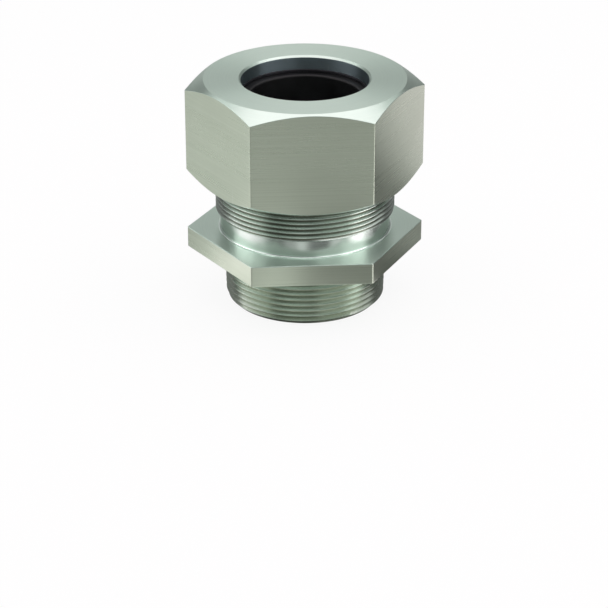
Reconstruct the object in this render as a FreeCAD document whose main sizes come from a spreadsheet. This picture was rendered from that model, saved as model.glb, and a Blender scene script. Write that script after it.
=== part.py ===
import FreeCAD, Part
import os
import Sketcher

# Liquid-tight cord connector in turned stainless steel, for a 2 inch threaded hub.
# The origin is the centre of the lower end, and +Z runs up the cord's path.
# Both hexagons have a flat on the -Y side and a corner on the +X side.
# Outside threads are plain at the size of their crests, which keeps the solids light.
# The nut's thread is plain too, at that size plus the play.

doc = FreeCAD.newDocument("CordConnector")

# Driving dimensions in millimetres, degrees for the angles.
# A share is a part of the thread's pitch.
driving_dimensions = {
    "GlandThreadDiameter": 66.675,
    "GlandThreadPitch": 1.8143,
    "GlandCrestShare": 0.125,
    "GlandRootShare": 0.1667,
    "GlandThreadLength": 31.4,
    "GlandThreadChamfer": 1.2,
    "CollarUndercut": 1.75,
    "CollarLength": 6.4,
    "CollarFillet": 0.8,
    "FlangeThickness": 8.0,
    "HubLength": 20.2,
    "HubWall": 4.2,
    "HubThreadPitch": 2.2087,
    "HubCrestShare": 0.05,
    "HubRootShare": 0.1,
    "HubThreadTaper": 1.79,
    "HubNeckLength": 2.6,
    "HubEndChamfer": 1.9,
    "CupWall": 3.4,
    "CupDepth": 11.3,
    "CupSeatLedge": 4.5,
    "CupSeatTaper": 2.2,
    "CupEdgeChamfer": 0.8,
    "BoreEndChamfer": 1.0,
    "BushingClearance": 0.3,
    "BushingWall": 8.4,
    "BushingHeight": 25.0,
    "BushingFootChamfer": 2.6,
    "BushingTopChamfer": 1.0,
    "BushingLipRadius": 1.0,
    "RingThickness": 1.1,
    "RingSetback": 2.9,
    "RingClearance": 0.4,
    "RingEdgeBreak": 0.2,
    "NutWall": 4.7625,
    "NutHeight": 38.6,
    "NutLipThickness": 5.3,
    "NutOpeningSetback": 0.45,
    "NutOpeningChamfer": 0.75,
    "NutCrownInset": 0.9,
    "NutCrownAngle": 30.0,
    "NutEntryChamfer": 0.9,
    "NutReliefDepth": 0.5,
    "NutReliefHeight": 3.2,
    "ThreadPlay": 0.15,
}

sheet = doc.addObject("Spreadsheet::Sheet", "Dimensions")
for row, (alias, size) in enumerate(driving_dimensions.items(), start=1):
    sheet.set(f"A{row}", alias)
    sheet.set(f"B{row}", str(size))
    sheet.setAlias(f"B{row}", alias)
doc.recompute()


# Expressions, which refer to the sheet's cells by name
def cell(alias):
    return f"Dimensions.{alias}"


def measure(expression):
    return float(sheet.evalExpression(expression))


def thread_depth(pitch, crest_share, root_share):
    # Height of a 60 degree thread between its crest flat and its root flat
    flats = f"{cell(crest_share)} - {cell(root_share)}"
    return f"({cell(pitch)} * (1 - {flats}) / 2 / tan(30))"


# Places up the axis, counted from the lower end
flange_bottom = cell("HubLength")
flange_top = f"({flange_bottom} + {cell('FlangeThickness')})"
collar_top = f"({flange_top} + {cell('CollarLength')})"
body_top = f"({collar_top} + {cell('GlandThreadLength')})"
cup_floor = f"({body_top} - {cell('CupDepth')})"
bushing_top = f"({cup_floor} + {cell('BushingHeight')})"
ring_top = f"({bushing_top} + {cell('RingThickness')})"
nut_top = f"({ring_top} + {cell('NutLipThickness')})"
nut_bottom = f"({nut_top} - {cell('NutHeight')})"

# Distances from the axis: from the gland thread inwards, then down through the hub
gland_radius = f"({cell('GlandThreadDiameter')} / 2)"
gland_depth = thread_depth("GlandThreadPitch", "GlandCrestShare", "GlandRootShare")
cup_radius = f"({gland_radius} - {gland_depth} - {cell('CupWall')})"
bushing_radius = f"({cup_radius} - {cell('BushingClearance')})"
cord_radius = f"({bushing_radius} - {cell('BushingWall')})"
ring_hole_radius = f"({cord_radius} + {cell('RingSetback')})"
opening_radius = f"({ring_hole_radius} + {cell('NutOpeningSetback')})"
bore_radius = f"({cup_radius} - {cell('CupSeatLedge')})"
hub_depth = thread_depth("HubThreadPitch", "HubCrestShare", "HubRootShare")
hub_radius = f"({bore_radius} + {cell('HubWall')} + {hub_depth})"

# The nut's thread, the relief above it, and the bar that leaves the nut its wall
nut_thread_radius = f"({gland_radius} + {cell('ThreadPlay')})"
relief_radius = f"({nut_thread_radius} + {cell('NutReliefDepth')})"
across_flats = f"({cell('GlandThreadDiameter')} + 2 * {cell('NutWall')})"


# Sketches and features
def origin_feature(body, role):
    for feature in body.Origin.OriginFeatures:
        if feature.Role == role:
            return feature
    raise ValueError(f"no origin feature {role}")


def add_body(name):
    body = doc.addObject("PartDesign::Body", name)
    body.Label = name
    return body


def add_sketch(body, name, role, offset=None):
    sketch = body.newObject("Sketcher::SketchObject", name)
    sketch.AttachmentSupport = [(origin_feature(body, role), "")]
    sketch.MapMode = "FlatFace"
    if offset:
        sketch.setExpression("AttachmentOffset.Base.z", offset)
    return sketch


def hold_corner(sketch, line, direction, axis, expression):
    # The line's first end lies on an axis, or at a stated distance from the origin
    if expression == "0":
        sketch.addConstraint(Sketcher.Constraint("PointOnObject", line, 1, axis))
        return
    row = sketch.addConstraint(
        Sketcher.Constraint(direction, -1, 1, line, 1, measure(expression))
    )
    sketch.setExpression(f"Constraints[{row}]", expression)


def draw_outline(sketch, corners):
    # A closed outline whose corners are (distance from the axis, height) expressions
    first = sketch.GeometryCount
    places = [FreeCAD.Vector(measure(out), measure(up), 0) for out, up in corners]
    ends = places[1:] + places[:1]
    for start, end in zip(places, ends):
        sketch.addGeometry(Part.LineSegment(start, end), False)
    last = first + len(corners) - 1
    for line in range(first, last + 1):
        before = last if line == first else line - 1
        sketch.addConstraint(Sketcher.Constraint("Coincident", before, 2, line, 1))
    for line, (out, up) in enumerate(corners, start=first):
        hold_corner(sketch, line, "DistanceX", -2, out)
        hold_corner(sketch, line, "DistanceY", -1, up)


def draw_hexagon(sketch, width):
    # Six equal sides on a construction circle, with one corner on the X axis
    corner_radius = f"{width} / sqrt(3)"
    reach = measure(corner_radius)
    turn = FreeCAD.Rotation(FreeCAD.Vector(0, 0, 1), 60)
    corner = FreeCAD.Vector(reach, 0, 0)
    for side in range(6):
        following = turn.multVec(corner)
        sketch.addGeometry(Part.LineSegment(corner, following), False)
        corner = following
    centre = FreeCAD.Vector(0, 0, 0)
    axis = FreeCAD.Vector(0, 0, 1)
    circle = sketch.addGeometry(Part.Circle(centre, axis, reach), True)
    sketch.addConstraint(Sketcher.Constraint("Coincident", circle, 3, -1, 1))
    for side in range(6):
        sketch.addConstraint(Sketcher.Constraint("Coincident", (side + 5) % 6, 2, side, 1))
    for side in range(6):
        sketch.addConstraint(Sketcher.Constraint("PointOnObject", side, 1, circle))
    for side in range(1, 6):
        sketch.addConstraint(Sketcher.Constraint("Equal", 0, side))
    sketch.addConstraint(Sketcher.Constraint("PointOnObject", 0, 1, -1))
    row = sketch.addConstraint(Sketcher.Constraint("Radius", circle, reach))
    sketch.setExpression(f"Constraints[{row}]", corner_radius)


def add_turning(body, kind, sketch, name):
    # A full turn about the sketch's vertical axis: a Revolution adds, a Groove cuts
    doc.recompute()
    before = body.Shape.Volume if not body.Shape.isNull() else 0.0
    feature = body.newObject(f"PartDesign::{kind}", name)
    feature.Profile = sketch
    feature.ReferenceAxis = (sketch, ["V_Axis"])
    feature.Angle = 360
    doc.recompute()
    change = feature.Shape.Volume - before
    if (kind == "Groove") == (change >= 0):
        raise RuntimeError(f"{name} changed the volume by {change:.1f} mm3")
    return feature


def add_pad(body, sketch, name, length):
    pad = body.newObject("PartDesign::Pad", name)
    pad.Profile = sketch
    pad.setExpression("Length", length)
    doc.recompute()
    return pad


def add_edge_fillet(body, base, name, edge_radius, edge_height, fillet_radius):
    # Rounds the circular edge at a stated distance from the axis and height
    wanted = []
    for index, edge in enumerate(base.Shape.Edges, start=1):
        if not isinstance(edge.Curve, Part.Circle):
            continue
        same_radius = abs(edge.Curve.Radius - measure(edge_radius)) < 1e-4
        same_height = abs(edge.Curve.Center.z - measure(edge_height)) < 1e-4
        if same_radius and same_height:
            wanted.append(f"Edge{index}")
    fillet = body.newObject("PartDesign::Fillet", name)
    fillet.Base = (base, wanted)
    fillet.setExpression("Radius", fillet_radius)
    doc.recompute()
    return fillet


# Connector body: hub, wrench flange, collar and gland thread, turned from one bar
def make_connector_body():
    body = add_body("connector_body")
    flange = add_sketch(body, "FlangeHexagon", "XY_Plane", flange_bottom)
    draw_hexagon(flange, across_flats)
    add_pad(body, flange, "Flange", cell("FlangeThickness"))

    slope = f"tan({cell('HubThreadTaper')})"
    neck_bottom = f"({flange_bottom} - {cell('HubNeckLength')})"
    neck_radius = f"({hub_radius} - {hub_depth})"
    hub_chamfer = cell("HubEndChamfer")
    hub_low_radius = f"({hub_radius} - ({neck_bottom} - {hub_chamfer}) * {slope})"
    collar_radius = f"({gland_radius} - {cell('CollarUndercut')})"
    gland_chamfer = cell("GlandThreadChamfer")
    turned = add_sketch(body, "TurnedProfile", "XZ_Plane")
    draw_outline(turned, [
        ("0", "0"),
        (f"{hub_low_radius} - {hub_chamfer}", "0"),
        (hub_low_radius, hub_chamfer),
        (hub_radius, neck_bottom),
        (neck_radius, neck_bottom),
        (neck_radius, flange_top),
        (collar_radius, flange_top),
        (collar_radius, collar_top),
        (f"{gland_radius} - {gland_chamfer}", collar_top),
        (gland_radius, f"{collar_top} + {gland_chamfer}"),
        (gland_radius, f"{body_top} - {gland_chamfer}"),
        (f"{gland_radius} - {gland_chamfer}", body_top),
        ("0", body_top),
    ])
    add_turning(body, "Revolution", turned, "TurnedOutside")

    bore_chamfer = cell("BoreEndChamfer")
    seat_taper = cell("CupSeatTaper")
    cup_chamfer = cell("CupEdgeChamfer")
    bored = add_sketch(body, "BoreProfile", "XZ_Plane")
    draw_outline(bored, [
        ("0", "0"),
        (f"{bore_radius} + {bore_chamfer}", "0"),
        (bore_radius, bore_chamfer),
        (bore_radius, cup_floor),
        (f"{cup_radius} - {seat_taper}", cup_floor),
        (cup_radius, f"{cup_floor} + {seat_taper}"),
        (cup_radius, f"{body_top} - {cup_chamfer}"),
        (f"{cup_radius} + {cup_chamfer}", body_top),
        ("0", body_top),
    ])
    bore = add_turning(body, "Groove", bored, "Bore")
    add_edge_fillet(body, bore, "CollarRoot", collar_radius, flange_top, cell("CollarFillet"))
    return body


# Gland nut: a tall hexagon with 30 degree crowns, bored for the thread, lipped on top
def make_gland_nut():
    body = add_body("gland_nut")
    hexagon = add_sketch(body, "NutHexagon", "XY_Plane")
    draw_hexagon(hexagon, across_flats)
    height = cell("NutHeight")
    add_pad(body, hexagon, "NutBlank", height)

    crown_radius = f"({across_flats} / 2 - {cell('NutCrownInset')})"
    beyond_corners = f"({across_flats} / sqrt(3) + {cell('NutCrownInset')})"
    crown_drop = f"(({beyond_corners} - {crown_radius}) * tan({cell('NutCrownAngle')}))"
    crowns = add_sketch(body, "CrownProfile", "XZ_Plane")
    draw_outline(crowns, [
        (crown_radius, height),
        (beyond_corners, height),
        (beyond_corners, f"{height} - {crown_drop}"),
    ])
    draw_outline(crowns, [
        (crown_radius, "0"),
        (beyond_corners, crown_drop),
        (beyond_corners, "0"),
    ])
    add_turning(body, "Groove", crowns, "Crowns")

    entry_chamfer = cell("NutEntryChamfer")
    ceiling = f"({height} - {cell('NutLipThickness')})"
    opening_chamfer = cell("NutOpeningChamfer")
    relief_bottom = f"({ceiling} - {cell('NutReliefHeight')})"
    bored = add_sketch(body, "NutBoreProfile", "XZ_Plane")
    draw_outline(bored, [
        ("0", "0"),
        (f"{nut_thread_radius} + {entry_chamfer}", "0"),
        (nut_thread_radius, entry_chamfer),
        (nut_thread_radius, relief_bottom),
        (relief_radius, relief_bottom),
        (relief_radius, ceiling),
        (opening_radius, ceiling),
        (opening_radius, f"{height} - {opening_chamfer}"),
        (f"{opening_radius} + {opening_chamfer}", height),
        ("0", height),
    ])
    add_turning(body, "Groove", bored, "NutBore")
    body.setExpression("Placement.Base.z", nut_bottom)
    return body


# Slip ring: a thin steel ring held in the nut's relief, which presses on the bushing
def make_slip_ring():
    body = add_body("slip_ring")
    outer = f"({relief_radius} - {cell('RingClearance')})"
    inner = ring_hole_radius
    thickness = cell("RingThickness")
    edge = cell("RingEdgeBreak")
    section = add_sketch(body, "RingSection", "XZ_Plane")
    draw_outline(section, [
        (f"{inner} + {edge}", "0"),
        (f"{outer} - {edge}", "0"),
        (outer, edge),
        (outer, f"{thickness} - {edge}"),
        (f"{outer} - {edge}", thickness),
        (f"{inner} + {edge}", thickness),
        (inner, f"{thickness} - {edge}"),
        (inner, edge),
    ])
    add_turning(body, "Revolution", section, "Ring")
    body.setExpression("Placement.Base.z", bushing_top)
    return body


# Sealing bushing: a rubber sleeve that stands in the body's cup and grips the cord
def make_sealing_bushing():
    body = add_body("sealing_bushing")
    height = cell("BushingHeight")
    foot = cell("BushingFootChamfer")
    shoulder = cell("BushingTopChamfer")
    section = add_sketch(body, "BushingSection", "XZ_Plane")
    draw_outline(section, [
        (cord_radius, "0"),
        (f"{bushing_radius} - {foot}", "0"),
        (bushing_radius, foot),
        (bushing_radius, f"{height} - {shoulder}"),
        (f"{bushing_radius} - {shoulder}", height),
        (cord_radius, height),
    ])
    sleeve = add_turning(body, "Revolution", section, "Sleeve")
    add_edge_fillet(body, sleeve, "LipRounding", cord_radius, height, cell("BushingLipRadius"))
    body.setExpression("Placement.Base.z", cup_floor)
    return body


pieces = [make_connector_body(), make_gland_nut(), make_slip_ring(), make_sealing_bushing()]
doc.recompute()

for item in doc.Objects:
    if "Invalid" in item.State or "Error" in item.State:
        raise RuntimeError(f"{item.Label} did not compute: {item.State}")

os.makedirs("parts", exist_ok=True)
for piece in pieces:
    if piece.Shape.isNull() or not piece.Shape.isValid():
        raise RuntimeError(f"{piece.Label} has no valid shape")
    if len(piece.Shape.Solids) != 1:
        raise RuntimeError(f"{piece.Label} is not one solid")
    piece.Shape.exportStep(f"parts/{piece.Label}.step")
    print(piece.Label, round(piece.Shape.Volume), "mm3", piece.Shape.BoundBox)
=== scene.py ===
import math

import bmesh
import bpy
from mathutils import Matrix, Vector


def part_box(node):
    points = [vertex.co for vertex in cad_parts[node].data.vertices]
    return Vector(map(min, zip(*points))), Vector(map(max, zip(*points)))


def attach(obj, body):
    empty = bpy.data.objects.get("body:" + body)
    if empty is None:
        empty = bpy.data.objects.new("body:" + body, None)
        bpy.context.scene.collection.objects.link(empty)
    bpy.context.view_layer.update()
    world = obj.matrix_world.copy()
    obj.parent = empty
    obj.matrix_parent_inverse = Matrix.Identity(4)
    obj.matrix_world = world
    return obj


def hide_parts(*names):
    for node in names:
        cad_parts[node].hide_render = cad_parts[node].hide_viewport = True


# Liquid-tight cord connector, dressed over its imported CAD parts. Everything is in metres.
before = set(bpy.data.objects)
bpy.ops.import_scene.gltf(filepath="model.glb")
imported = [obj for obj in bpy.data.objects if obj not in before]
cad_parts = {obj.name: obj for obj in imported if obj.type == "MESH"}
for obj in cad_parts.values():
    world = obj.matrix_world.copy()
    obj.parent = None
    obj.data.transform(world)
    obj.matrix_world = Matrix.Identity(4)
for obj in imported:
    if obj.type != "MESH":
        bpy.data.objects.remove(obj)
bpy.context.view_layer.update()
mm = 0.001
print("frame loaded:", ", ".join(sorted(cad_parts)))

bodyLow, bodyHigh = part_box("connector_body")
nutLow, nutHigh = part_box("gland_nut")
ringLow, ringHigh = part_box("slip_ring")
bushLow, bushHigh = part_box("sealing_bushing")
acrossFlats = bodyHigh.y - bodyLow.y

circleColumns = 144  # round parts
weldDistance = 0.002 * mm
sharpAngle = math.radians(35)
hexagon = {
    "cornerRound": 0.6 * mm,
    "cornerSteps": 4,
    "cornerHold": 0.05 * mm,
    "sideSteps": 22,
}


# Helpers for node trees, materials and objects
def addNode(tree, kind, **settings):
    node = tree.nodes.new(kind)
    for name, value in settings.items():
        setattr(node, name, value)
    return node


def feed(tree, socket, value):
    # A socket is linked, and a plain value is set
    if isinstance(value, bpy.types.NodeSocket):
        tree.links.new(value, socket)
    else:
        socket.default_value = value


def calc(tree, operation, *values):
    node = addNode(tree, "ShaderNodeMath", operation=operation)
    for socket, value in zip(node.inputs, values):
        feed(tree, socket, value)
    return node.outputs[0]


def scaleRange(tree, value, fromLow, fromHigh, toLow=0.0, toHigh=1.0):
    node = addNode(tree, "ShaderNodeMapRange")
    node.clamp = True
    for socket, setting in zip(node.inputs, (value, fromLow, fromHigh, toLow, toHigh)):
        feed(tree, socket, setting)
    return node.outputs[0]


def addNoise(tree, vector, scale, detail, roughness):
    node = addNode(tree, "ShaderNodeTexNoise")
    feed(tree, node.inputs["Vector"], vector)
    feed(tree, node.inputs["Scale"], scale)
    feed(tree, node.inputs["Detail"], detail)
    feed(tree, node.inputs["Roughness"], roughness)
    return node.outputs[0]


def mixColours(tree, factor, first, second):
    node = addNode(tree, "ShaderNodeMix", data_type="RGBA")
    feed(tree, node.inputs["Factor"], factor)
    feed(tree, node.inputs["A"], first)
    feed(tree, node.inputs["B"], second)
    return node.outputs["Result"]


def readPlace(tree):
    # Object coordinates, whole and as X, Y and Z
    place = addNode(tree, "ShaderNodeTexCoord").outputs["Object"]
    split = addNode(tree, "ShaderNodeSeparateXYZ")
    feed(tree, split.inputs[0], place)
    return place, split.outputs


def fromAxis(tree, parts):
    squares = [calc(tree, "POWER", parts[axis], 2.0) for axis in "XY"]
    return calc(tree, "SQRT", calc(tree, "ADD", *squares))


def newMaterial(name):
    # An empty material, its tree and the socket that its shader goes to
    material = bpy.data.materials.new(name)
    material.use_nodes = True
    tree = material.node_tree
    tree.nodes.clear()
    return material, tree, addNode(tree, "ShaderNodeOutputMaterial").inputs["Surface"]


def meshFrom(name, bm):
    mesh = bpy.data.meshes.new(name)
    bm.to_mesh(mesh)
    bm.free()
    return mesh


def newObject(name, data):
    made = bpy.data.objects.new(name, data)
    bpy.context.scene.collection.objects.link(made)
    return made


# Finishes: the grain groups put out a streak mask and a height
def startGroup(name, inputs, outputs):
    group = bpy.data.node_groups.new(name, "ShaderNodeTree")
    for label, default in inputs.items():
        socket = group.interface.new_socket(name=label, in_out="INPUT", socket_type="NodeSocketFloat")
        socket.default_value = default
    for label in outputs:
        group.interface.new_socket(name=label, in_out="OUTPUT", socket_type="NodeSocketFloat")
    return group, addNode(group, "NodeGroupInput"), addNode(group, "NodeGroupOutput")


def buildTurnedGrain():
    # Lathe lines: they run round the Z axis, and the sweep breaks them up along their way
    group, given, result = startGroup(
        "turnedGrain",
        {"Lines per metre": 2600.0, "Sweep per metre": 45.0, "Contrast": 1.0},
        ["Streak", "Height"],
    )
    place, parts = readPlace(group)
    join = addNode(group, "ShaderNodeCombineXYZ")
    feed(group, join.inputs["X"], fromAxis(group, parts))
    feed(group, join.inputs["Y"], parts["Z"])
    scale = given.outputs["Lines per metre"]
    line = addNoise(group, join.outputs[0], scale, detail=3.0, roughness=0.65)
    scale = given.outputs["Sweep per metre"]
    sweep = addNoise(group, place, scale, detail=3.0, roughness=0.55)
    centred = calc(group, "SUBTRACT", line, 0.5)
    broken = calc(group, "MULTIPLY", centred, calc(group, "ADD", sweep, 0.5))
    strong = calc(group, "MULTIPLY", broken, given.outputs["Contrast"])
    feed(group, result.inputs["Streak"], calc(group, "ADD", strong, 0.5))
    feed(group, result.inputs["Height"], broken)
    return group


def buildDrawnGrain():
    # Drawn bar: level streaks along the flats, fine up the Z axis and long across
    group, given, result = startGroup(
        "drawnGrain",
        {"Lines per metre": 2200.0, "Length per metre": 13.0, "Contrast": 1.0},
        ["Streak", "Height"],
    )
    place, parts = readPlace(group)
    join = addNode(group, "ShaderNodeCombineXYZ")
    density = {"X": "Length per metre", "Y": "Length per metre", "Z": "Lines per metre"}
    for axis, label in density.items():
        feed(group, join.inputs[axis], calc(group, "MULTIPLY", parts[axis], given.outputs[label]))
    line = addNoise(group, join.outputs[0], 1.0, detail=4.0, roughness=0.6)
    centred = calc(group, "SUBTRACT", line, 0.5)
    strong = calc(group, "MULTIPLY", centred, given.outputs["Contrast"])
    feed(group, result.inputs["Streak"], calc(group, "ADD", strong, 0.5))
    feed(group, result.inputs["Height"], centred)
    return group


handlingMarks = {
    "smudgeRange": (0.35, 0.75),
    "scratchRange": (0.74, 0.78),
    "scratchTurn": (0.5, 0.9, 0.4),
    "scratchStretch": (1.0, 14.0, 0.6),
}


def buildHandling():
    # Faint marks of handling: soft smudges and a few hair scratches
    s = handlingMarks
    group, given, result = startGroup(
        "handling",
        {"Smudge per metre": 35.0, "Scratch per metre": 90.0},
        ["Smudge", "Scratch"],
    )
    place = addNode(group, "ShaderNodeTexCoord").outputs["Object"]
    scale = given.outputs["Smudge per metre"]
    smudge = addNoise(group, place, scale, detail=5.0, roughness=0.6)
    feed(group, result.inputs["Smudge"], scaleRange(group, smudge, *s["smudgeRange"]))
    turn = addNode(group, "ShaderNodeMapping")
    turn.inputs["Rotation"].default_value = s["scratchTurn"]
    turn.inputs["Scale"].default_value = s["scratchStretch"]
    feed(group, turn.inputs["Vector"], place)
    scale = given.outputs["Scratch per metre"]
    hair = addNoise(group, turn.outputs[0], scale, detail=2.0, roughness=0.4)
    feed(group, result.inputs["Scratch"], scaleRange(group, hair, *s["scratchRange"]))
    return group


turnedGrain = buildTurnedGrain()
drawnGrain = buildDrawnGrain()
handling = buildHandling()


def addPrincipled(tree, surface):
    shader = addNode(tree, "ShaderNodeBsdfPrincipled")
    tree.links.new(shader.outputs["BSDF"], surface)
    return shader


def addBump(tree, shader, height, strength, distance):
    bump = addNode(tree, "ShaderNodeBump")
    bump.inputs["Strength"].default_value = strength
    bump.inputs["Distance"].default_value = distance
    feed(tree, bump.inputs["Height"], height)
    feed(tree, shader.inputs["Normal"], bump.outputs[0])


steel = {
    "scratchColour": (0.8, 0.83, 0.8, 1.0),
    "streakRange": (0.2, 0.8),
    # share of the thread's form where the painted root shade has faded out
    "rootShadeEnd": 0.8,
    "smudgeRoughness": 0.12,
    "highlightTurn": 0.25,
    "bumpDistance": 0.02 * mm,
}


def makeSteel(name, grain, finish):
    material, tree, surface = newMaterial(name)
    shader = addPrincipled(tree, surface)
    lines = addNode(tree, "ShaderNodeGroup", node_tree=grain)
    for label in ("Lines per metre", "Contrast"):
        lines.inputs[label].default_value = finish[label]
    marks = addNode(tree, "ShaderNodeGroup", node_tree=handling)
    streaked = mixColours(tree, lines.outputs["Streak"], finish["dark"], finish["light"])
    if "paintedRootShade" in finish:
        # Painted shade and oil in the roots: darker towards the root, read from the thread's own
        # attribute
        crest = addNode(tree, "ShaderNodeAttribute", attribute_name="crest")
        outOfRootShade = scaleRange(tree, crest.outputs["Fac"], 0.0, steel["rootShadeEnd"])
        streaked = mixColours(tree, outOfRootShade, finish["paintedRootShade"], streaked)
    smudged = calc(tree, "MULTIPLY", marks.outputs["Smudge"], finish["smudge"])
    dulled = mixColours(tree, smudged, streaked, finish["dark"])
    scratched = calc(tree, "MULTIPLY", marks.outputs["Scratch"], finish["scratch"])
    colour = mixColours(tree, scratched, dulled, steel["scratchColour"])
    feed(tree, shader.inputs["Base Color"], colour)
    rough = scaleRange(tree, lines.outputs["Streak"], *steel["streakRange"], *finish["roughness"])
    added = calc(tree, "MULTIPLY", smudged, steel["smudgeRoughness"])
    feed(tree, shader.inputs["Roughness"], calc(tree, "ADD", rough, added))
    shader.inputs["Metallic"].default_value = 1.0
    shader.inputs["Anisotropic"].default_value = finish["anisotropic"]
    shader.inputs["Anisotropic Rotation"].default_value = steel["highlightTurn"]
    tangent = addNode(tree, "ShaderNodeTangent", direction_type="RADIAL", axis="Z")
    tree.links.new(tangent.outputs[0], shader.inputs["Tangent"])
    addBump(tree, shader, lines.outputs["Height"], finish["bump"], steel["bumpDistance"])
    return material


turnedFinish = {
    "light": (0.67, 0.8, 0.71, 1.0),
    "dark": (0.53, 0.655, 0.575, 1.0),
    "roughness": (0.3, 0.38),
    "smudge": 0.25,
    "scratch": 0.2,
    "anisotropic": 0.8,
    "bump": 0.25,
    "Lines per metre": 2600.0,
    "Contrast": 1.0,
}
flatFinish = {
    "light": (0.63, 0.705, 0.58, 1.0),
    "dark": (0.46, 0.525, 0.415, 1.0),
    "roughness": (0.24, 0.32),
    "smudge": 0.3,
    "scratch": 0.15,
    "anisotropic": 0.84,
    "bump": 0.1,
    "Lines per metre": 2600.0,
    "Contrast": 1.15,
}
collarFinish = {
    "light": (0.63, 0.71, 0.65, 1.0),
    "dark": (0.51, 0.58, 0.53, 1.0),
    "roughness": (0.15, 0.21),
    "smudge": 0.2,
    "scratch": 0.15,
    "anisotropic": 0.7,
    "bump": 0.2,
    "Lines per metre": 2600.0,
    "Contrast": 0.9,
}
# Painted highlight: the fillet's colour is brightened for the bright line at the collar's foot; its
# low roughness is a real polish
filletHighlightFinish = {
    "light": (0.84, 0.97, 0.9, 1.0),
    "dark": (0.74, 0.86, 0.79, 1.0),
    "roughness": (0.1, 0.15),
    "smudge": 0.1,
    "scratch": 0.1,
    "anisotropic": 0.4,
    "bump": 0.05,
    "Lines per metre": 2600.0,
    "Contrast": 0.8,
}
# Painted shade: the same steel, darkened to stand in for the shade inside the bores and under the
# nut's lip
shadedBoreFinish = {
    "light": (0.26, 0.33, 0.35, 1.0),
    "dark": (0.17, 0.225, 0.24, 1.0),
    "roughness": (0.34, 0.4),
    "smudge": 0.3,
    "scratch": 0.1,
    "anisotropic": 0.9,
    "bump": 0.2,
    "Lines per metre": 2600.0,
    "Contrast": 1.0,
}
glandThreadFinish = {
    "light": (0.7, 0.79, 0.73, 1.0),
    "dark": (0.56, 0.63, 0.57, 1.0),
    # root colour: painted shade and oil in the thread's roots
    "paintedRootShade": (0.12, 0.14, 0.09, 1.0),
    "roughness": (0.18, 0.26),
    "smudge": 0.25,
    "scratch": 0.2,
    "anisotropic": 0.5,
    "bump": 0.15,
    "Lines per metre": 3000.0,
    "Contrast": 0.8,
}
hubThreadFinish = {
    "light": (0.605, 0.68, 0.6, 1.0),
    "dark": (0.49, 0.55, 0.47, 1.0),
    # root colour: painted shade and oil in the thread's roots
    "paintedRootShade": (0.45, 0.51, 0.4, 1.0),
    "roughness": (0.17, 0.24),
    "smudge": 0.3,
    "scratch": 0.2,
    "anisotropic": 0.5,
    "bump": 0.15,
    "Lines per metre": 3000.0,
    "Contrast": 0.8,
}
# Painted shade: the steel ring is coloured near black for the shade it lies in under the nut's lip
shadedRingFinish = {
    "light": (0.07, 0.075, 0.08, 1.0),
    "dark": (0.04, 0.04, 0.045, 1.0),
    "roughness": (0.4, 0.5),
    "smudge": 0.3,
    "scratch": 0.0,
    "anisotropic": 0.2,
    "bump": 0.1,
    "Lines per metre": 2600.0,
    "Contrast": 1.0,
}
rubberFinish = {
    "fresh": (0.003, 0.003, 0.003, 1.0),
    "dusty": (0.009, 0.01, 0.01, 1.0),
    "roughness": (0.4, 0.55),
    "specular": 0.3,
    "bump": 0.25,
    "bumpDistance": 0.03 * mm,
    "Smudge per metre": 70.0,
    "grainPerMetre": 2500.0,
}


def makeRubber(name, finish):
    material, tree, surface = newMaterial(name)
    shader = addPrincipled(tree, surface)
    marks = addNode(tree, "ShaderNodeGroup", node_tree=handling)
    marks.inputs["Smudge per metre"].default_value = finish["Smudge per metre"]
    tone = mixColours(tree, marks.outputs["Smudge"], finish["fresh"], finish["dusty"])
    feed(tree, shader.inputs["Base Color"], tone)
    rough = scaleRange(tree, marks.outputs["Smudge"], 0.0, 1.0, *finish["roughness"])
    feed(tree, shader.inputs["Roughness"], rough)
    shader.inputs["Specular IOR Level"].default_value = finish["specular"]
    place = addNode(tree, "ShaderNodeTexCoord").outputs["Object"]
    grain = addNoise(tree, place, finish["grainPerMetre"], detail=3.0, roughness=0.6)
    addBump(tree, shader, grain, finish["bump"], finish["bumpDistance"])
    return material


turnedSteel = makeSteel("turnedSteel", turnedGrain, turnedFinish)
flatSteel = makeSteel("drawnFlats", drawnGrain, flatFinish)
collarSteel = makeSteel("turnedCollar", turnedGrain, collarFinish)
filletHighlightSteel = makeSteel("polishedFilletPaintedHighlight", turnedGrain, filletHighlightFinish)
shadedBoreSteel = makeSteel("boredSteelPaintedShade", turnedGrain, shadedBoreFinish)
glandThreadSteel = makeSteel("glandThreadSteel", turnedGrain, glandThreadFinish)
hubThreadSteel = makeSteel("hubThreadSteel", turnedGrain, hubThreadFinish)
shadedRingSteel = makeSteel("stampedRingPaintedShade", turnedGrain, shadedRingFinish)
rubber = makeRubber("sealingRubber", rubberFinish)
print("finishes made")


# The thread tree: a grid whose rows follow the helix, so that crests and roots stay crisp
threadSteps = 8  # rows for each turn: two at every corner of the thread's form
threadLead = 2  # turns begun below the start, which the bottom end then trims


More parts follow.
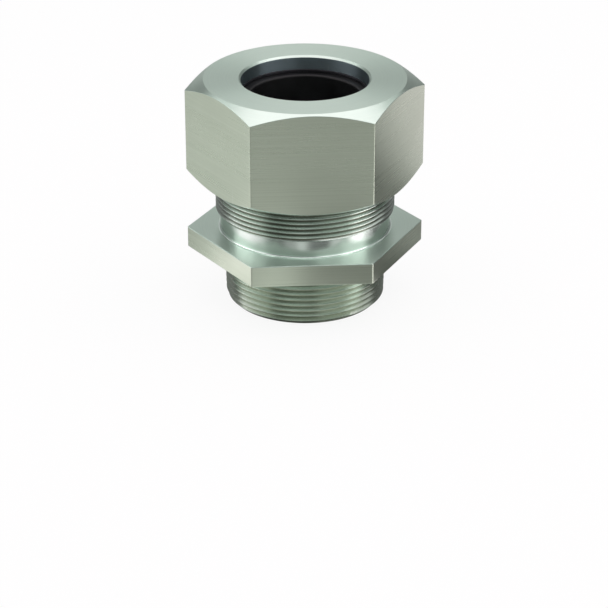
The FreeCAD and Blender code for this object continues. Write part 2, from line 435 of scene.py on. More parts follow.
def buildThreadTree():
    tree = bpy.data.node_groups.new("helicalThread", "GeometryNodeTree")
    face = tree.interface
    numbers = {
        "Helix start": 0.0,
        "Pitch": 0.002,
        "Crest radius": 0.03,
        "Taper": 0.0,
        "Depth": 0.001,
        "Crest share": 0.125,
        "Root share": 0.1667,
        "Corner ease": 0.02,
        "Bottom": 0.0,
        "Top": 0.02,
        "Bottom setback": 0.001,
        "Bottom slope": 1.0,
        "Top setback": 0.001,
        "Top slope": 1.0,
        "Side": 1.0,
    }
    for label, default in {"Columns": 144, "Turns": 12}.items():
        socket = face.new_socket(name=label, in_out="INPUT", socket_type="NodeSocketInt")
        socket.default_value = default
    for label, default in numbers.items():
        socket = face.new_socket(name=label, in_out="INPUT", socket_type="NodeSocketFloat")
        socket.default_value = default
    face.new_socket(name="Finish", in_out="INPUT", socket_type="NodeSocketMaterial")
    face.new_socket(name="Geometry", in_out="OUTPUT", socket_type="NodeSocketGeometry")
    given = addNode(tree, "NodeGroupInput").outputs
    result = addNode(tree, "NodeGroupOutput")

    def do(operation, *values):
        return calc(tree, operation, *values)

    rows = do("MULTIPLY_ADD", given["Turns"], float(threadSteps), 1.0)
    grid = addNode(tree, "GeometryNodeMeshGrid")
    feed(tree, grid.inputs["Vertices X"], do("ADD", given["Columns"], 1.0))
    feed(tree, grid.inputs["Vertices Y"], rows)
    index = addNode(tree, "GeometryNodeInputIndex").outputs[0]
    column = do("FLOOR", do("DIVIDE", do("ADD", index, 0.5), rows))
    row = do("SUBTRACT", index, do("MULTIPLY", column, rows))
    turn = do("DIVIDE", column, given["Columns"])
    wholeTurns = do("FLOOR", do("DIVIDE", do("ADD", row, 0.5), float(threadSteps)))
    step = do("SUBTRACT", row, do("MULTIPLY", wholeTurns, float(threadSteps)))

    # Where each row stands in its pitch: the root's middle is 0 and the crest's is 0.5
    halfCrest = do("MULTIPLY", given["Crest share"], 0.5)
    halfRoot = do("MULTIPLY", given["Root share"], 0.5)
    corners = [
        halfRoot,
        do("SUBTRACT", 0.5, halfCrest),
        do("ADD", 0.5, halfCrest),
        do("SUBTRACT", 1.0, halfRoot),
    ]
    choose = addNode(tree, "GeometryNodeIndexSwitch", data_type="FLOAT")
    while len(choose.index_switch_items) < threadSteps:
        choose.index_switch_items.new()
    feed(tree, choose.inputs["Index"], step)
    for number, corner in enumerate(corners):
        before = do("SUBTRACT", corner, given["Corner ease"])
        after = do("ADD", corner, given["Corner ease"])
        feed(tree, choose.inputs[str(2 * number)], before)
        feed(tree, choose.inputs[str(2 * number + 1)], after)
    share = choose.outputs[0]

    # Height on the axis, held between the thread's two ends
    climbed = do("ADD", do("SUBTRACT", wholeTurns, float(threadLead)), do("ADD", share, turn))
    free = do("MULTIPLY_ADD", climbed, given["Pitch"], given["Helix start"])
    height = do("MINIMUM", do("MAXIMUM", free, given["Bottom"]), given["Top"])

    # Distance from the axis: the thread's form, set back at both ends
    fromCrest = do("ABSOLUTE", do("SUBTRACT", share, 0.5))
    rootStart = do("SUBTRACT", 0.5, halfRoot)
    crestHeight = scaleRange(tree, fromCrest, halfCrest, rootStart, 1.0, 0.0)
    below = do("SUBTRACT", given["Top"], height)
    above = do("SUBTRACT", height, given["Bottom"])
    crestRadius = do("SUBTRACT", given["Crest radius"], do("MULTIPLY", below, given["Taper"]))
    cut = do("MULTIPLY", do("SUBTRACT", 1.0, crestHeight), given["Depth"])
    side = given["Side"]
    threaded = do("MULTIPLY", do("SUBTRACT", crestRadius, cut), side)
    sided = do("MULTIPLY", crestRadius, side)
    ends = []
    for label, distance in (("Bottom", above), ("Top", below)):
        setBack = do("SUBTRACT", sided, given[f"{label} setback"])
        ends.append(do("MULTIPLY_ADD", distance, given[f"{label} slope"], setBack))
    radius = do("MULTIPLY", do("MINIMUM", threaded, do("MINIMUM", *ends)), side)
    angle = do("MULTIPLY", turn, math.tau)
    place = addNode(tree, "ShaderNodeCombineXYZ")
    feed(tree, place.inputs["X"], do("MULTIPLY", radius, do("COSINE", angle)))
    feed(tree, place.inputs["Y"], do("MULTIPLY", radius, do("SINE", angle)))
    feed(tree, place.inputs["Z"], height)

    # How far up its form each point is, which the finish reads
    note = addNode(tree, "GeometryNodeStoreNamedAttribute", data_type="FLOAT", domain="POINT")
    note.inputs["Name"].default_value = "crest"
    feed(tree, note.inputs["Geometry"], grid.outputs["Mesh"])
    feed(tree, note.inputs["Value"], crestHeight)
    move = addNode(tree, "GeometryNodeSetPosition")
    feed(tree, move.inputs["Geometry"], note.outputs[0])
    feed(tree, move.inputs["Position"], place.outputs[0])
    weld = addNode(tree, "GeometryNodeMergeByDistance")
    weld.inputs["Distance"].default_value = weldDistance
    feed(tree, weld.inputs["Geometry"], move.outputs[0])
    turnOver = addNode(tree, "GeometryNodeFlipFaces")
    feed(tree, turnOver.inputs["Mesh"], weld.outputs[0])
    feed(tree, turnOver.inputs["Selection"], do("LESS_THAN", side, 0.0))
    realize = addNode(tree, "GeometryNodeRealizeInstances")
    feed(tree, realize.inputs[0], turnOver.outputs[0])
    paint = addNode(tree, "GeometryNodeSetMaterial")
    feed(tree, paint.inputs["Geometry"], realize.outputs[0])
    feed(tree, paint.inputs["Material"], given["Finish"])
    feed(tree, result.inputs[0], paint.outputs[0])
    return tree


threadTree = buildThreadTree()


def cutThread(name, settings):
    # Runs the tree with these inputs and returns the plain mesh
    span = settings["Top"] - settings["Helix start"]
    inputs = dict(settings)
    inputs["Columns"] = circleColumns
    inputs["Turns"] = math.ceil(span / settings["Pitch"]) + threadLead + 1
    carrier = newObject(name, bpy.data.meshes.new(name))
    modifier = carrier.modifiers.new(name, "NODES")
    modifier.node_group = threadTree
    for item in threadTree.interface.items_tree:
        if item.in_out == "INPUT":
            modifier[item.identifier] = inputs[item.name]
    evaluated = carrier.evaluated_get(bpy.context.evaluated_depsgraph_get())
    mesh = bpy.data.meshes.new_from_object(evaluated)
    bpy.data.objects.remove(carrier)
    print(name, len(mesh.vertices), "points")
    return mesh


def threadDepth(pitch, crestShare, rootShare):
    # A 60 degree form between its crest flat and its root flat
    return pitch * (1 - crestShare - rootShare) / 2 / math.tan(math.radians(30))


# Columns of points that stand round the axis
cornerArc = {
    "smallSteps": 3,
    "largeSteps": 8,
    "largeFrom": 0.5 * mm,
    "hold": 0.04 * mm,
}


def easeCorners(corners):
    # Each corner is (radius, height, ease, finish). An eased one becomes a small arc,
    # with a holding point beyond each end that keeps the shading of the faces flat.
    eased = []
    for place, (radius, height, ease, finish) in enumerate(corners):
        here = Vector((radius, height))
        if ease == 0 or place in (0, len(corners) - 1):
            eased.append((radius, height, finish))
            continue
        back = (Vector(corners[place - 1][:2]) - here).normalized()
        ahead = (Vector(corners[place + 1][:2]) - here).normalized()
        halfAngle = back.angle(ahead) / 2
        reach = ease / math.tan(halfAngle)
        start = here + back * reach
        end = here + ahead * reach
        steps = cornerArc["smallSteps"] if ease < cornerArc["largeFrom"] else cornerArc["largeSteps"]
        arc = [start + back * cornerArc["hold"]]
        for step in range(steps + 1):
            share = step / steps
            arc.append(start * (1 - share) ** 2 + here * 2 * share * (1 - share) + end * share ** 2)
        arc.append(end + ahead * cornerArc["hold"])
        eased += [(point.x, point.y, finish) for point in arc]
    return eased


def hexagonPoints(width):
    # A hexagon with one corner on +X and softly rounded corners
    apothem = width / 2
    rounding = hexagon["cornerRound"]
    toCentre = (apothem - rounding) / math.cos(math.radians(30))
    starts = []
    ends = []
    arcs = []
    for corner in range(6):
        middle = math.radians(60 * corner)
        centre = Vector((math.cos(middle), math.sin(middle))) * toCentre
        arc = []
        for step in range(hexagon["cornerSteps"] + 1):
            angle = middle + math.radians(60 * step / hexagon["cornerSteps"] - 30)
            arc.append(centre + Vector((math.cos(angle), math.sin(angle))) * rounding)
        arcs.append(arc)
        starts.append(arc[0])
        ends.append(arc[-1])
    points = []
    for corner in range(6):
        points += arcs[corner]
        following = starts[(corner + 1) % 6]
        hold = hexagon["cornerHold"] / (following - ends[corner]).length
        between = [step / hexagon["sideSteps"] for step in range(1, hexagon["sideSteps"])]
        points += [ends[corner].lerp(following, share) for share in (hold, *between, 1 - hold)]
    return points


def circleDirections(count):
    angles = [math.tau * n / count for n in range(count)]
    return [Vector((math.cos(angle), math.sin(angle))) for angle in angles]


def bridgeRings(bm, lower, upper, finish):
    count = len(lower)
    for n in range(count):
        after = (n + 1) % count
        face = bm.faces.new((lower[n], lower[after], upper[after], upper[n]))
        face.material_index = finish


def addColumns(bm, directions, columns):
    # columns[n] is the eased profile at directions[n]. Returns its rings.
    rings = []
    for row in range(len(columns[0])):
        ring = []
        for direction, column in zip(directions, columns):
            radius, height, _ = column[row]
            ring.append(bm.verts.new((direction.x * radius, direction.y * radius, height)))
        rings.append(ring)
    finishes = [finish for _, _, finish in columns[0]]
    for lower, upper, finish in zip(rings, rings[1:], finishes):
        bridgeRings(bm, lower, upper, finish)
    return rings


def angleOf(vertex):
    return math.atan2(vertex.co.y, vertex.co.x) % math.tau


def zipRings(bm, first, second, finish):
    # Joins two level rings whose counts differ, with triangles in order of angle
    first = sorted(first, key=angleOf)
    second = sorted(second, key=angleOf)
    firstAngles = [angleOf(v) for v in first] + [angleOf(first[0]) + math.tau]
    secondAngles = [angleOf(v) for v in second] + [angleOf(second[0]) + math.tau]
    a = 0
    b = 0
    while a < len(first) or b < len(second):
        here = first[a % len(first)]
        there = second[b % len(second)]
        stepFirst = b == len(second) or (a < len(first) and firstAngles[a + 1] <= secondAngles[b + 1])
        if stepFirst:
            a += 1
            corners = (here, first[a % len(first)], there)
        else:
            b += 1
            corners = (here, second[b % len(second)], there)
        face = bm.faces.new(corners)
        face.material_index = finish


def addThread(bm, mesh, finish):
    # Adds a cut thread and returns its bottom and top rings
    known = len(bm.verts)
    knownFaces = len(bm.faces)
    bm.from_mesh(mesh)
    bpy.data.meshes.remove(mesh)
    bm.verts.ensure_lookup_table()
    bm.faces.ensure_lookup_table()
    added = bm.verts[known:]
    for face in bm.faces[knownFaces:]:
        face.material_index = finish
    lowest = min(v.co.z for v in added)
    highest = max(v.co.z for v in added)
    near = 0.001 * mm
    bottom = sorted([v for v in added if v.co.z < lowest + near and v.is_boundary], key=angleOf)
    top = sorted([v for v in added if v.co.z > highest - near and v.is_boundary], key=angleOf)
    return bottom, top


def finishPiece(name, bm, materials, body, node):
    bmesh.ops.remove_doubles(bm, verts=bm.verts, dist=weldDistance)
    bmesh.ops.recalc_face_normals(bm, faces=bm.faces)
    openEdges = sum(1 for edge in bm.edges if not edge.is_manifold)
    mesh = meshFrom(name, bm)
    for material in materials:
        mesh.materials.append(material)
    mesh.shade_smooth()
    mesh.set_sharp_from_angle(angle=sharpAngle)
    piece = newObject(name, mesh)
    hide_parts(node)
    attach(piece, body)
    triangles = sum(len(polygon.vertices) - 2 for polygon in mesh.polygons)
    print(f"{name}: {triangles} triangles, {openEdges} open edges")


circle = circleDirections(circleColumns)
steelMaterials = [
    turnedSteel, flatSteel, collarSteel, filletHighlightSteel, shadedBoreSteel, glandThreadSteel, hubThreadSteel,
]
turned, flat, smooth, filletHighlight, boreShade, glandCut, hubCut = range(7)  # places in that list

connector = {
    "glandRadius": 33.3375 * mm,
    "glandPitch": 1.8143 * mm,
    "glandCrest": 0.125,
    "glandRoot": 0.1667,
    "glandEase": 0.02,
    "glandLength": 31.4 * mm,
    "glandChamfer": 1.2 * mm,
    "collarUndercut": 1.75 * mm,
    "collarLength": 6.4 * mm,
    "collarFillet": 0.8 * mm,
    "filletFoot": 2.0,  # in fillets, out from the collar
    "filletTop": 1.1,  # in fillets, up from the flange
    "flangeThickness": 8.0 * mm,
    "flangeEdge": 0.3 * mm,
    "flangeInset": 1.2 * mm,
    "hubWall": 4.2 * mm,
    "hubPitch": 2.2087 * mm,
    "hubCrest": 0.05,
    "hubRoot": 0.1,
    "hubEase": 0.015,
    "hubTaper": 1.79,
    "hubRunOut": 2.0,
    "neckLength": 2.6 * mm,
    "hubChamfer": 1.9 * mm,
    "cupWall": 3.4 * mm,
    "cupDepth": 11.3 * mm,
    "seatLedge": 4.5 * mm,
    "seatTaper": 2.2 * mm,
    "cupChamfer": 0.8 * mm,
    "boreChamfer": 1.0 * mm,
    "edge": 0.1 * mm,
}
glandDepth = threadDepth(connector["glandPitch"], connector["glandCrest"], connector["glandRoot"])
hubDepth = threadDepth(connector["hubPitch"], connector["hubCrest"], connector["hubRoot"])
bodyTop = bodyHigh.z
collarTop = bodyTop - connector["glandLength"]
flangeTop = collarTop - connector["collarLength"]
flangeBottom = flangeTop - connector["flangeThickness"]
neckBottom = flangeBottom - connector["neckLength"]
cupFloor = bodyTop - connector["cupDepth"]
cupRadius = connector["glandRadius"] - glandDepth - connector["cupWall"]
boreRadius = cupRadius - connector["seatLedge"]
hubRadius = boreRadius + connector["hubWall"] + hubDepth
neckRadius = hubRadius - hubDepth
collarRadius = connector["glandRadius"] - connector["collarUndercut"]
glandForm = {  # on the connector and in the nut alike
    "Pitch": connector["glandPitch"],
    "Taper": 0.0,
    "Depth": glandDepth,
    "Crest share": connector["glandCrest"],
    "Root share": connector["glandRoot"],
    "Corner ease": connector["glandEase"],
    "Finish": glandThreadSteel,
}


def makeConnector():
    s = connector
    bm = bmesh.new()
    glandMesh = cutThread("glandThread", {
        **glandForm,
        "Helix start": collarTop,
        "Crest radius": s["glandRadius"],
        "Bottom": collarTop,
        "Top": bodyTop,
        "Bottom setback": s["collarUndercut"],
        "Bottom slope": s["collarUndercut"] / s["glandChamfer"],
        "Top setback": s["glandChamfer"],
        "Top slope": 1.0,
        "Side": 1.0,
    })
    taper = math.tan(math.radians(s["hubTaper"]))
    hubMesh = cutThread("hubThread", {
        "Helix start": bodyLow.z - s["hubPitch"] / 2,
        "Pitch": s["hubPitch"],
        "Crest radius": hubRadius,
        "Taper": taper,
        "Depth": hubDepth,
        "Crest share": s["hubCrest"],
        "Root share": s["hubRoot"],
        "Corner ease": s["hubEase"],
        "Bottom": bodyLow.z,
        "Top": neckBottom,
        "Bottom setback": s["hubChamfer"],
        "Bottom slope": 1.0,
        "Top setback": hubDepth,
        "Top slope": s["hubRunOut"],
        "Side": 1.0,
        "Finish": hubThreadSteel,
    })
    glandBottom, glandTop = addThread(bm, glandMesh, glandCut)
    hubBottom, hubTop = addThread(bm, hubMesh, hubCut)

    # Flange: hexagon columns, with the level faces zipped to the round parts
    outline = hexagonPoints(acrossFlats)
    directions = [point.normalized() for point in outline]
    flangeColumns = []
    for point in outline:
        reach = point.length
        flangeColumns.append(easeCorners([
            (reach - s["flangeInset"], flangeBottom, 0, turned),
            (reach, flangeBottom, s["flangeEdge"], flat),
            (reach, flangeTop, s["flangeEdge"], turned),
            (reach - s["flangeInset"], flangeTop, 0, turned),
        ]))
    flangeRings = addColumns(bm, directions, flangeColumns)

    # Neck, collar with its fillet, and the inside bore
    neckRings = addColumns(bm, circle, [[
        (neckRadius, neckBottom, smooth),
        (neckRadius, flangeBottom, smooth),
    ]] * circleColumns)
    collarColumn = easeCorners([
        (collarRadius + s["filletFoot"] * s["collarFillet"], flangeTop, 0, turned),
        (collarRadius, flangeTop, s["collarFillet"], filletHighlight),
        (collarRadius, flangeTop + s["filletTop"] * s["collarFillet"], 0, smooth),
        (collarRadius, collarTop, 0, smooth),
    ])
    collarRings = addColumns(bm, circle, [collarColumn] * circleColumns)
    insideColumn = easeCorners([
        (s["glandRadius"] - s["glandChamfer"], bodyTop, 0, turned),
        (cupRadius + s["cupChamfer"], bodyTop, s["edge"], turned),
        (cupRadius, bodyTop - s["cupChamfer"], s["edge"], boreShade),
        (cupRadius, cupFloor + s["seatTaper"], s["edge"], boreShade),
        (cupRadius - s["seatTaper"], cupFloor, s["edge"], boreShade),
        (boreRadius, cupFloor, s["edge"], boreShade),
        (boreRadius, bodyLow.z + s["boreChamfer"], s["edge"], turned),
        (boreRadius + s["boreChamfer"], bodyLow.z, s["edge"], turned),
        (hubRadius - (neckBottom - bodyLow.z) * taper - s["hubChamfer"], bodyLow.z, 0, turned),
    ])
    insideRings = addColumns(bm, circle, [insideColumn] * circleColumns)

    # The parts joined into one closed shell
    zipRings(bm, neckRings[-1], flangeRings[0], turned)
    zipRings(bm, flangeRings[-1], collarRings[0], turned)
    bridgeRings(bm, hubTop, neckRings[0], turned)
    bridgeRings(bm, collarRings[-1], glandBottom, turned)
    bridgeRings(bm, glandTop, insideRings[0], turned)
    bridgeRings(bm, insideRings[-1], hubBottom, turned)
    finishPiece("connectorBody", bm, steelMaterials, "connector", "connector_body")


makeConnector()

nut = {
    "crownInset": 0.9 * mm,
    "crownAngle": 30.0,
    "edge": 0.18 * mm,
    "faceInset": 0.72 * mm,
    "lipThickness": 5.3 * mm,
    "lipFace": 0.6 * mm,
    "openingRadius": 23.4746 * mm,
    "openingChamfer": 0.75 * mm,
    "openingEdge": 0.08 * mm,
    "seatEdge": 0.1 * mm,
    "entryChamfer": 0.9 * mm,
    "reliefDepth": 0.5 * mm,
    "reliefHeight": 3.2 * mm,
    "threadPlay": 0.15 * mm,
    "runOut": 1.5,
}


def makeNut():
    s = nut
    bm = bmesh.new()
    low, high = nutLow.z, nutHigh.z
    ceiling = high - s["lipThickness"]
    threadTop = ceiling - s["reliefHeight"]
    threadRadius = connector["glandRadius"] + s["threadPlay"]
    turnsBelow = math.floor((low - collarTop) / connector["glandPitch"])
    nutMesh = cutThread("nutThread", {
        **glandForm,
        "Helix start": collarTop + turnsBelow * connector["glandPitch"],
        "Crest radius": threadRadius,
        "Bottom": low,
        "Top": threadTop,
        "Bottom setback": s["entryChamfer"],
        "Bottom slope": 1.0,
        "Top setback": s["reliefDepth"],
        "Top slope": s["runOut"],
        "Side": -1.0,
    })
    threadBottom, threadEnd = addThread(bm, nutMesh, glandCut)

    # Six flats between two turned crowns: each column meets the crown's cone at its own height
    outline = hexagonPoints(acrossFlats)
    directions = [point.normalized() for point in outline]
    crownRadius = acrossFlats / 2 - s["crownInset"]
    slope = math.tan(math.radians(s["crownAngle"]))
    columns = []
    for point in outline:
        reach = point.length
        drop = (reach - crownRadius) * slope
        columns.append(easeCorners([
            (crownRadius - s["faceInset"], low, 0, turned),
            (crownRadius, low, s["edge"], turned),
            (reach, low + drop, s["edge"], flat),
            (reach, high - drop, s["edge"], turned),
            (crownRadius, high, s["edge"], turned),
            (crownRadius - s["faceInset"], high, 0, turned),
        ]))
    outerRings = addColumns(bm, directions, columns)

    # Opening, lip, seat and the relief above the thread
    opening = s["openingRadius"]
    chamfer = s["openingChamfer"]
    relief = threadRadius + s["reliefDepth"]
    insideColumn = easeCorners([
        (opening + chamfer + s["lipFace"], high, 0, turned),
        (opening + chamfer, high, s["openingEdge"], turned),
        (opening, high - chamfer, s["openingEdge"], boreShade),
        (opening, ceiling, s["seatEdge"], boreShade),
        (relief, ceiling, s["seatEdge"], boreShade),
        (relief, threadTop, 0, boreShade),
    ])
    insideRings = addColumns(bm, circle, [insideColumn] * circleColumns)
    zipRings(bm, outerRings[-1], insideRings[0], turned)
    bridgeRings(bm, insideRings[-1], threadEnd, boreShade)
    zipRings(bm, threadBottom, outerRings[0], turned)
    finishPiece("glandNut", bm, steelMaterials, "nut", "gland_nut")


makeNut()


def makeRound(name, corners, material, body, node):
    # A section turned about the axis, closed by a seam on the hole's wall
    bm = bmesh.new()
    rings = addColumns(bm, circle, [easeCorners(corners)] * circleColumns)
    bridgeRings(bm, rings[-1], rings[0], 0)
    finishPiece(name, bm, [material], body, node)


slipRing = {
    "holeRadius": 23.0246 * mm,
    "edge": 0.18 * mm,
    "seam": 0.05 * mm,
}
ringMiddle = (ringLow.z + ringHigh.z) / 2
makeRound("slipRing", [
    (slipRing["holeRadius"], ringMiddle, 0, 0),
    (slipRing["holeRadius"], ringHigh.z, slipRing["edge"], 0),
    (ringHigh.x, ringHigh.z, slipRing["edge"], 0),
    (ringHigh.x, ringLow.z, slipRing["edge"], 0),
    (slipRing["holeRadius"], ringLow.z, slipRing["edge"], 0),
    (slipRing["holeRadius"], ringMiddle - slipRing["seam"], 0, 0),
], shadedRingSteel, "ring", "slip_ring")

bushing = {
    "holeRadius": 20.1246 * mm,
    "lip": 1.0 * mm,
    "foot": 2.6 * mm,
    "shoulder": 1.0 * mm,
    "edge": 0.2 * mm,
    "seam": 1.0 * mm,
}
bushMiddle = (bushLow.z + bushHigh.z) / 2
makeRound("sealingBushing", [
    (bushing["holeRadius"], bushMiddle, 0, 0),
    (bushing["holeRadius"], bushHigh.z, bushing["lip"], 0),
    (bushHigh.x - bushing["shoulder"], bushHigh.z, bushing["edge"], 0),
    (bushHigh.x, bushHigh.z - bushing["shoulder"], bushing["edge"], 0),
    (bushHigh.x, bushLow.z + bushing["foot"], bushing["edge"], 0),
    (bushHigh.x - bushing["foot"], bushLow.z, bushing["edge"], 0),
    (bushing["holeRadius"], bushLow.z, bushing["edge"], 0),
    (bushing["holeRadius"], bushMiddle - bushing["seam"], 0, 0),
], rubber, "connector", "sealing_bushing")
print("pieces made")


# Studio: pale floor, soft light from above, and cards that only reflections see
studio = {
    "floorReach": 3.0,
    "floorGap": 0.1 * mm,
    "floorColour": (0.9, 0.9, 0.9, 1.0),
    "floorWhite": 0.9,
    "worldColour": (1.0, 1.0, 1.0, 1.0),
    "worldStrength": 0.8,
    "topLightWidth": 1.15,
    "topLightDepth": 0.7,
    "topLightHeight": 0.75,
    "topLightPower": 2.65,
    "topLightRight": 0.06,
    "topLightTint": (1.0, 0.8, 0.9),
}

# Grey and white cards lie round the object in rings, each with its own tones. A ring takes over
# from the one before it across its blend, by reach from the axis or by height on the wall.
# Each stop is (degrees from the front, positive to the right, brightness).
cards = {
    "plainTint": (1.0, 1.0, 1.0),
    "brightTint": (1.0, 0.92, 0.97),  # where brighter than 1
    "lift": 0.05 * mm,
    "wallRadius": 0.7,
    "wallHeight": 0.45,
    "innerRadius": 0.0245,
    "foot": {
        "blend": (0.0, 0.001),
        "stops": [(-180, 0.04), (-90, 0.12), (0, 0.06), (90, 0.1), (180, 0.04)],
    },
    "hub": {
        "blend": (0.033, 0.037),
        "stops": [
            (-180, 0.1), (-110, 0.1), (-98, 0.7), (-84, 1.0), (-74, 1.0), (-60, 0.75), (-50, 0.6),
            (-38, 0.65), (-28, 0.9), (-18, 1.0), (-10, 0.8), (0, 0.78), (14, 0.8), (24, 0.7),
            (40, 0.5), (48, 0.7), (56, 1.8), (63, 2.4), (71, 1.8), (78, 0.1), (92, 0.0), (180, 0.0),
        ],
    },
    "flange": {
        "blend": (0.062, 0.074),
        "stops": [
            (-180, 0.1), (-128, 0.1), (-108, 0.5), (-98, 0.9), (-89, 1.8), (-76, 1.6),
            (-64, 1.1), (-54, 0.85), (-44, 0.3), (-36, 0.25), (-31, 0.15), (-25, 0.5), (-16, 0.55),
            (-9, 0.95), (-4, 0.8), (1, 0.28), (6, 0.06), (13, 0.02), (21, 0.02), (29, 1.0),
            (38, 1.2), (46, 1.0), (52, 1.5), (58, 2.2), (66, 1.8), (73, 0.6), (82, 0.2), (96, 0.3),
            (108, 0.4), (120, 0.22), (150, 0.1), (180, 0.15),
        ],
    },
    "glandThread": {
        "blend": (0.105, 0.12),
        "stops": [
            (-180, 0.5), (-150, 0.4), (-120, 0.68), (-108, 0.75), (-91, 1.0), (-80, 2.0),
            (-70, 2.2), (-60, 1.6), (-50, 0.4), (-42, 0.1), (-26, 0.3), (-10, 0.55), (0, 0.57),
            (14, 0.57), (30, 0.4), (46, 0.2), (53, 3.0), (62, 4.2), (74, 4.4), (86, 3.2),
            (88, 0.03), (98, 0.05), (106, 0.08), (112, 0.25), (116, 0.7), (120, 1.15),
            (130, 1.2), (150, 0.5), (180, 0.5),
        ],
    },
    "flats": {
        "blend": (0.13, 0.15),
        "stops": [
            (-180, 0.5), (-150, 0.4), (-120, 0.74), (-108, 0.83), (-91, 0.85), (-60, 0.95),
            (-45, 0.4), (-26, 0.4), (-10, 0.55), (0, 0.58), (14, 0.57), (30, 0.45), (50, 0.8),
            (60, 1.3), (72, 1.3), (82, 0.3), (88, 0.03), (98, 0.05), (106, 0.08), (112, 0.25),
            (116, 0.7), (120, 1.15), (130, 1.2), (150, 0.5), (180, 0.5),
        ],
    },
    "lowWall": {
        "blend": (0.4, 0.5),
        "stops": [
            (-180, 0.6), (-164, 0.44), (-150, 0.2), (-126, 0.3), (-104, 0.7), (-84, 0.8),
            (-60, 0.8), (-50, 0.3), (-36, 0.2), (-8, 0.2), (8, 0.2), (22, 0.7), (44, 0.8), (80, 0.8),
            (90, 0.3), (120, 0.15), (150, 0.2), (164, 0.44), (180, 0.6),
        ],
    },
    "highWall": {
        "rise": (0.29, 0.33),
        "stops": [
            (-180, 0.58), (-164, 0.42), (-150, 0.1), (-126, 0.15), (-117, 0.3), (-108, 5.0),
            (-84, 5.0), (-76, 2.4), (-60, 1.4), (-52, 0.3), (-36, 0.15), (-28, 0.6), (-20, 0.15),
            (-8, 0.05), (6, 0.08), (13, 1.2), (20, 1.9), (40, 1.7), (54, 3.9), (82, 5.4), (90, 0.2),
            (120, 0.1), (146, 0.15), (162, 0.42), (180, 0.58),
        ],
    },
}


def makeCards():
    # A shallow dish with a wall, which only reflections see
    bm = bmesh.new()
    low = bodyLow.z + cards["lift"]
    section = [
        (cards["innerRadius"], low, 0),
        (cards["wallRadius"], low, 0),
        (cards["wallRadius"], low + cards["wallHeight"], 0),
    ]
    addColumns(bm, circle, [section] * circleColumns)
    dish = newObject("reflectionCards", meshFrom("reflectionCards", bm))
    dish.visible_camera = False
    dish.visible_diffuse = False
    dish.visible_shadow = False
    dish.visible_transmission = False
    material, tree, surface = newMaterial("cardTones")
    material.cycles.emission_sampling = "NONE"
    dish.data.materials.append(material)
    _, parts = readPlace(tree)
    backwards = calc(tree, "MULTIPLY", parts["Y"], -1.0)
    around = scaleRange(tree, calc(tree, "ARCTAN2", parts["X"], backwards), -math.pi, math.pi)
    reach = fromAxis(tree, parts)
    tone = (0.0, 0.0, 0.0, 1.0)
    for name in ("foot", "hub", "flange", "glandThread", "flats", "lowWall", "highWall"):
        ring = cards[name]
        ramp = addNode(tree, "ShaderNodeValToRGB")
        feed(tree, ramp.inputs[0], around)
        elements = ramp.color_ramp.elements
        while len(elements) < len(ring["stops"]):
            elements.new(0.5)
        for element, (degrees, _) in zip(elements, ring["stops"]):
            element.position = (degrees + 180) / 360
        for element, (_, grey) in zip(elements, ring["stops"]):
            tint = cards["brightTint"] if grey > 1 else cards["plainTint"]
            element.color = [grey * part for part in tint] + [1.0]
        if "rise" in ring:
            taken = scaleRange(tree, parts["Z"], *ring["rise"])
        else:
            taken = scaleRange(tree, reach, *ring["blend"])
        tone = mixColours(tree, taken, tone, ramp.outputs[0])
    glow = addNode(tree, "ShaderNodeEmission")
    feed(tree, glow.inputs["Color"], tone)
    tree.links.new(glow.outputs[0], surface)


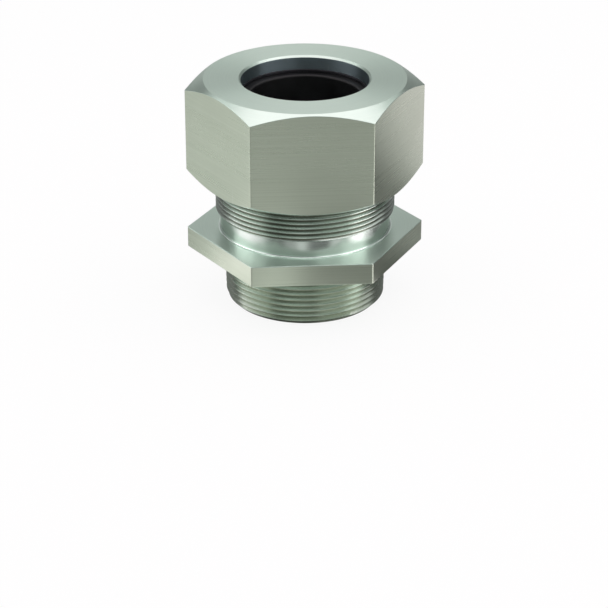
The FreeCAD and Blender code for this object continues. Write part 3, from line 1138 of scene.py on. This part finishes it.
def makeFloor():
    # Matte to the light, and plain white to the camera and to reflections
    bm = bmesh.new()
    reach = studio["floorReach"]
    level = bodyLow.z - studio["floorGap"]
    sides = ((-1, -1), (1, -1), (1, 1), (-1, 1))
    bm.faces.new([bm.verts.new((x * reach, y * reach, level)) for x, y in sides])
    floor = newObject("floor", meshFrom("floor", bm))
    material, tree, surface = newMaterial("paleFloor")
    floor.data.materials.append(material)
    matte = addNode(tree, "ShaderNodeBsdfDiffuse")
    matte.inputs["Color"].default_value = studio["floorColour"]
    white = addNode(tree, "ShaderNodeEmission")
    white.inputs["Strength"].default_value = 1.0
    path = addNode(tree, "ShaderNodeLightPath")
    seen = calc(tree, "MAXIMUM", path.outputs["Is Camera Ray"], path.outputs["Is Glossy Ray"])
    seen = calc(tree, "MAXIMUM", seen, path.outputs["Is Transmission Ray"])
    blend = addNode(tree, "ShaderNodeMixShader")
    feed(tree, blend.inputs[0], calc(tree, "MULTIPLY", seen, studio["floorWhite"]))
    tree.links.new(matte.outputs[0], blend.inputs[1])
    tree.links.new(white.outputs[0], blend.inputs[2])
    tree.links.new(blend.outputs[0], surface)


def makeLights():
    world = bpy.data.worlds.new("studioWorld")
    world.use_nodes = True
    background = world.node_tree.nodes["Background"]
    background.inputs["Color"].default_value = studio["worldColour"]
    background.inputs["Strength"].default_value = studio["worldStrength"]
    bpy.context.scene.world = world
    lamp = bpy.data.lights.new("topSoftbox", "AREA")
    lamp.shape = "RECTANGLE"
    lamp.size = studio["topLightWidth"]
    lamp.size_y = studio["topLightDepth"]
    lamp.energy = studio["topLightPower"]
    lamp.color = studio["topLightTint"]
    light = newObject("topSoftbox", lamp)
    light.location = (studio["topLightRight"], 0.0, studio["topLightHeight"])


makeFloor()
makeCards()
makeLights()
print("studio made")

view = {
    "azimuth": -93.9,
    "elevation": 25.514,
    "distance": 0.8684,
    "target": (0.0, 0.0, -0.0005),
    "lens": 135.24,
    "sensorWidth": 36.0,
    "shiftX": -0.0017,
    "shiftY": -0.0195,
}


def makeCamera():
    data = bpy.data.cameras.new("camera")
    data.lens = view["lens"]
    data.sensor_width = view["sensorWidth"]
    data.shift_x = view["shiftX"]
    data.shift_y = view["shiftY"]
    camera = newObject("camera", data)
    around = math.radians(view["azimuth"])
    up = math.radians(view["elevation"])
    level = math.cos(up)
    back = Vector((math.cos(around) * level, math.sin(around) * level, math.sin(up)))
    camera.location = Vector(view["target"]) + back * view["distance"]
    camera.rotation_mode = "QUATERNION"
    camera.rotation_quaternion = (-back).to_track_quat("-Z", "Y")
    bpy.context.scene.camera = camera


makeCamera()
bpy.context.scene.view_settings.view_transform = "Standard"
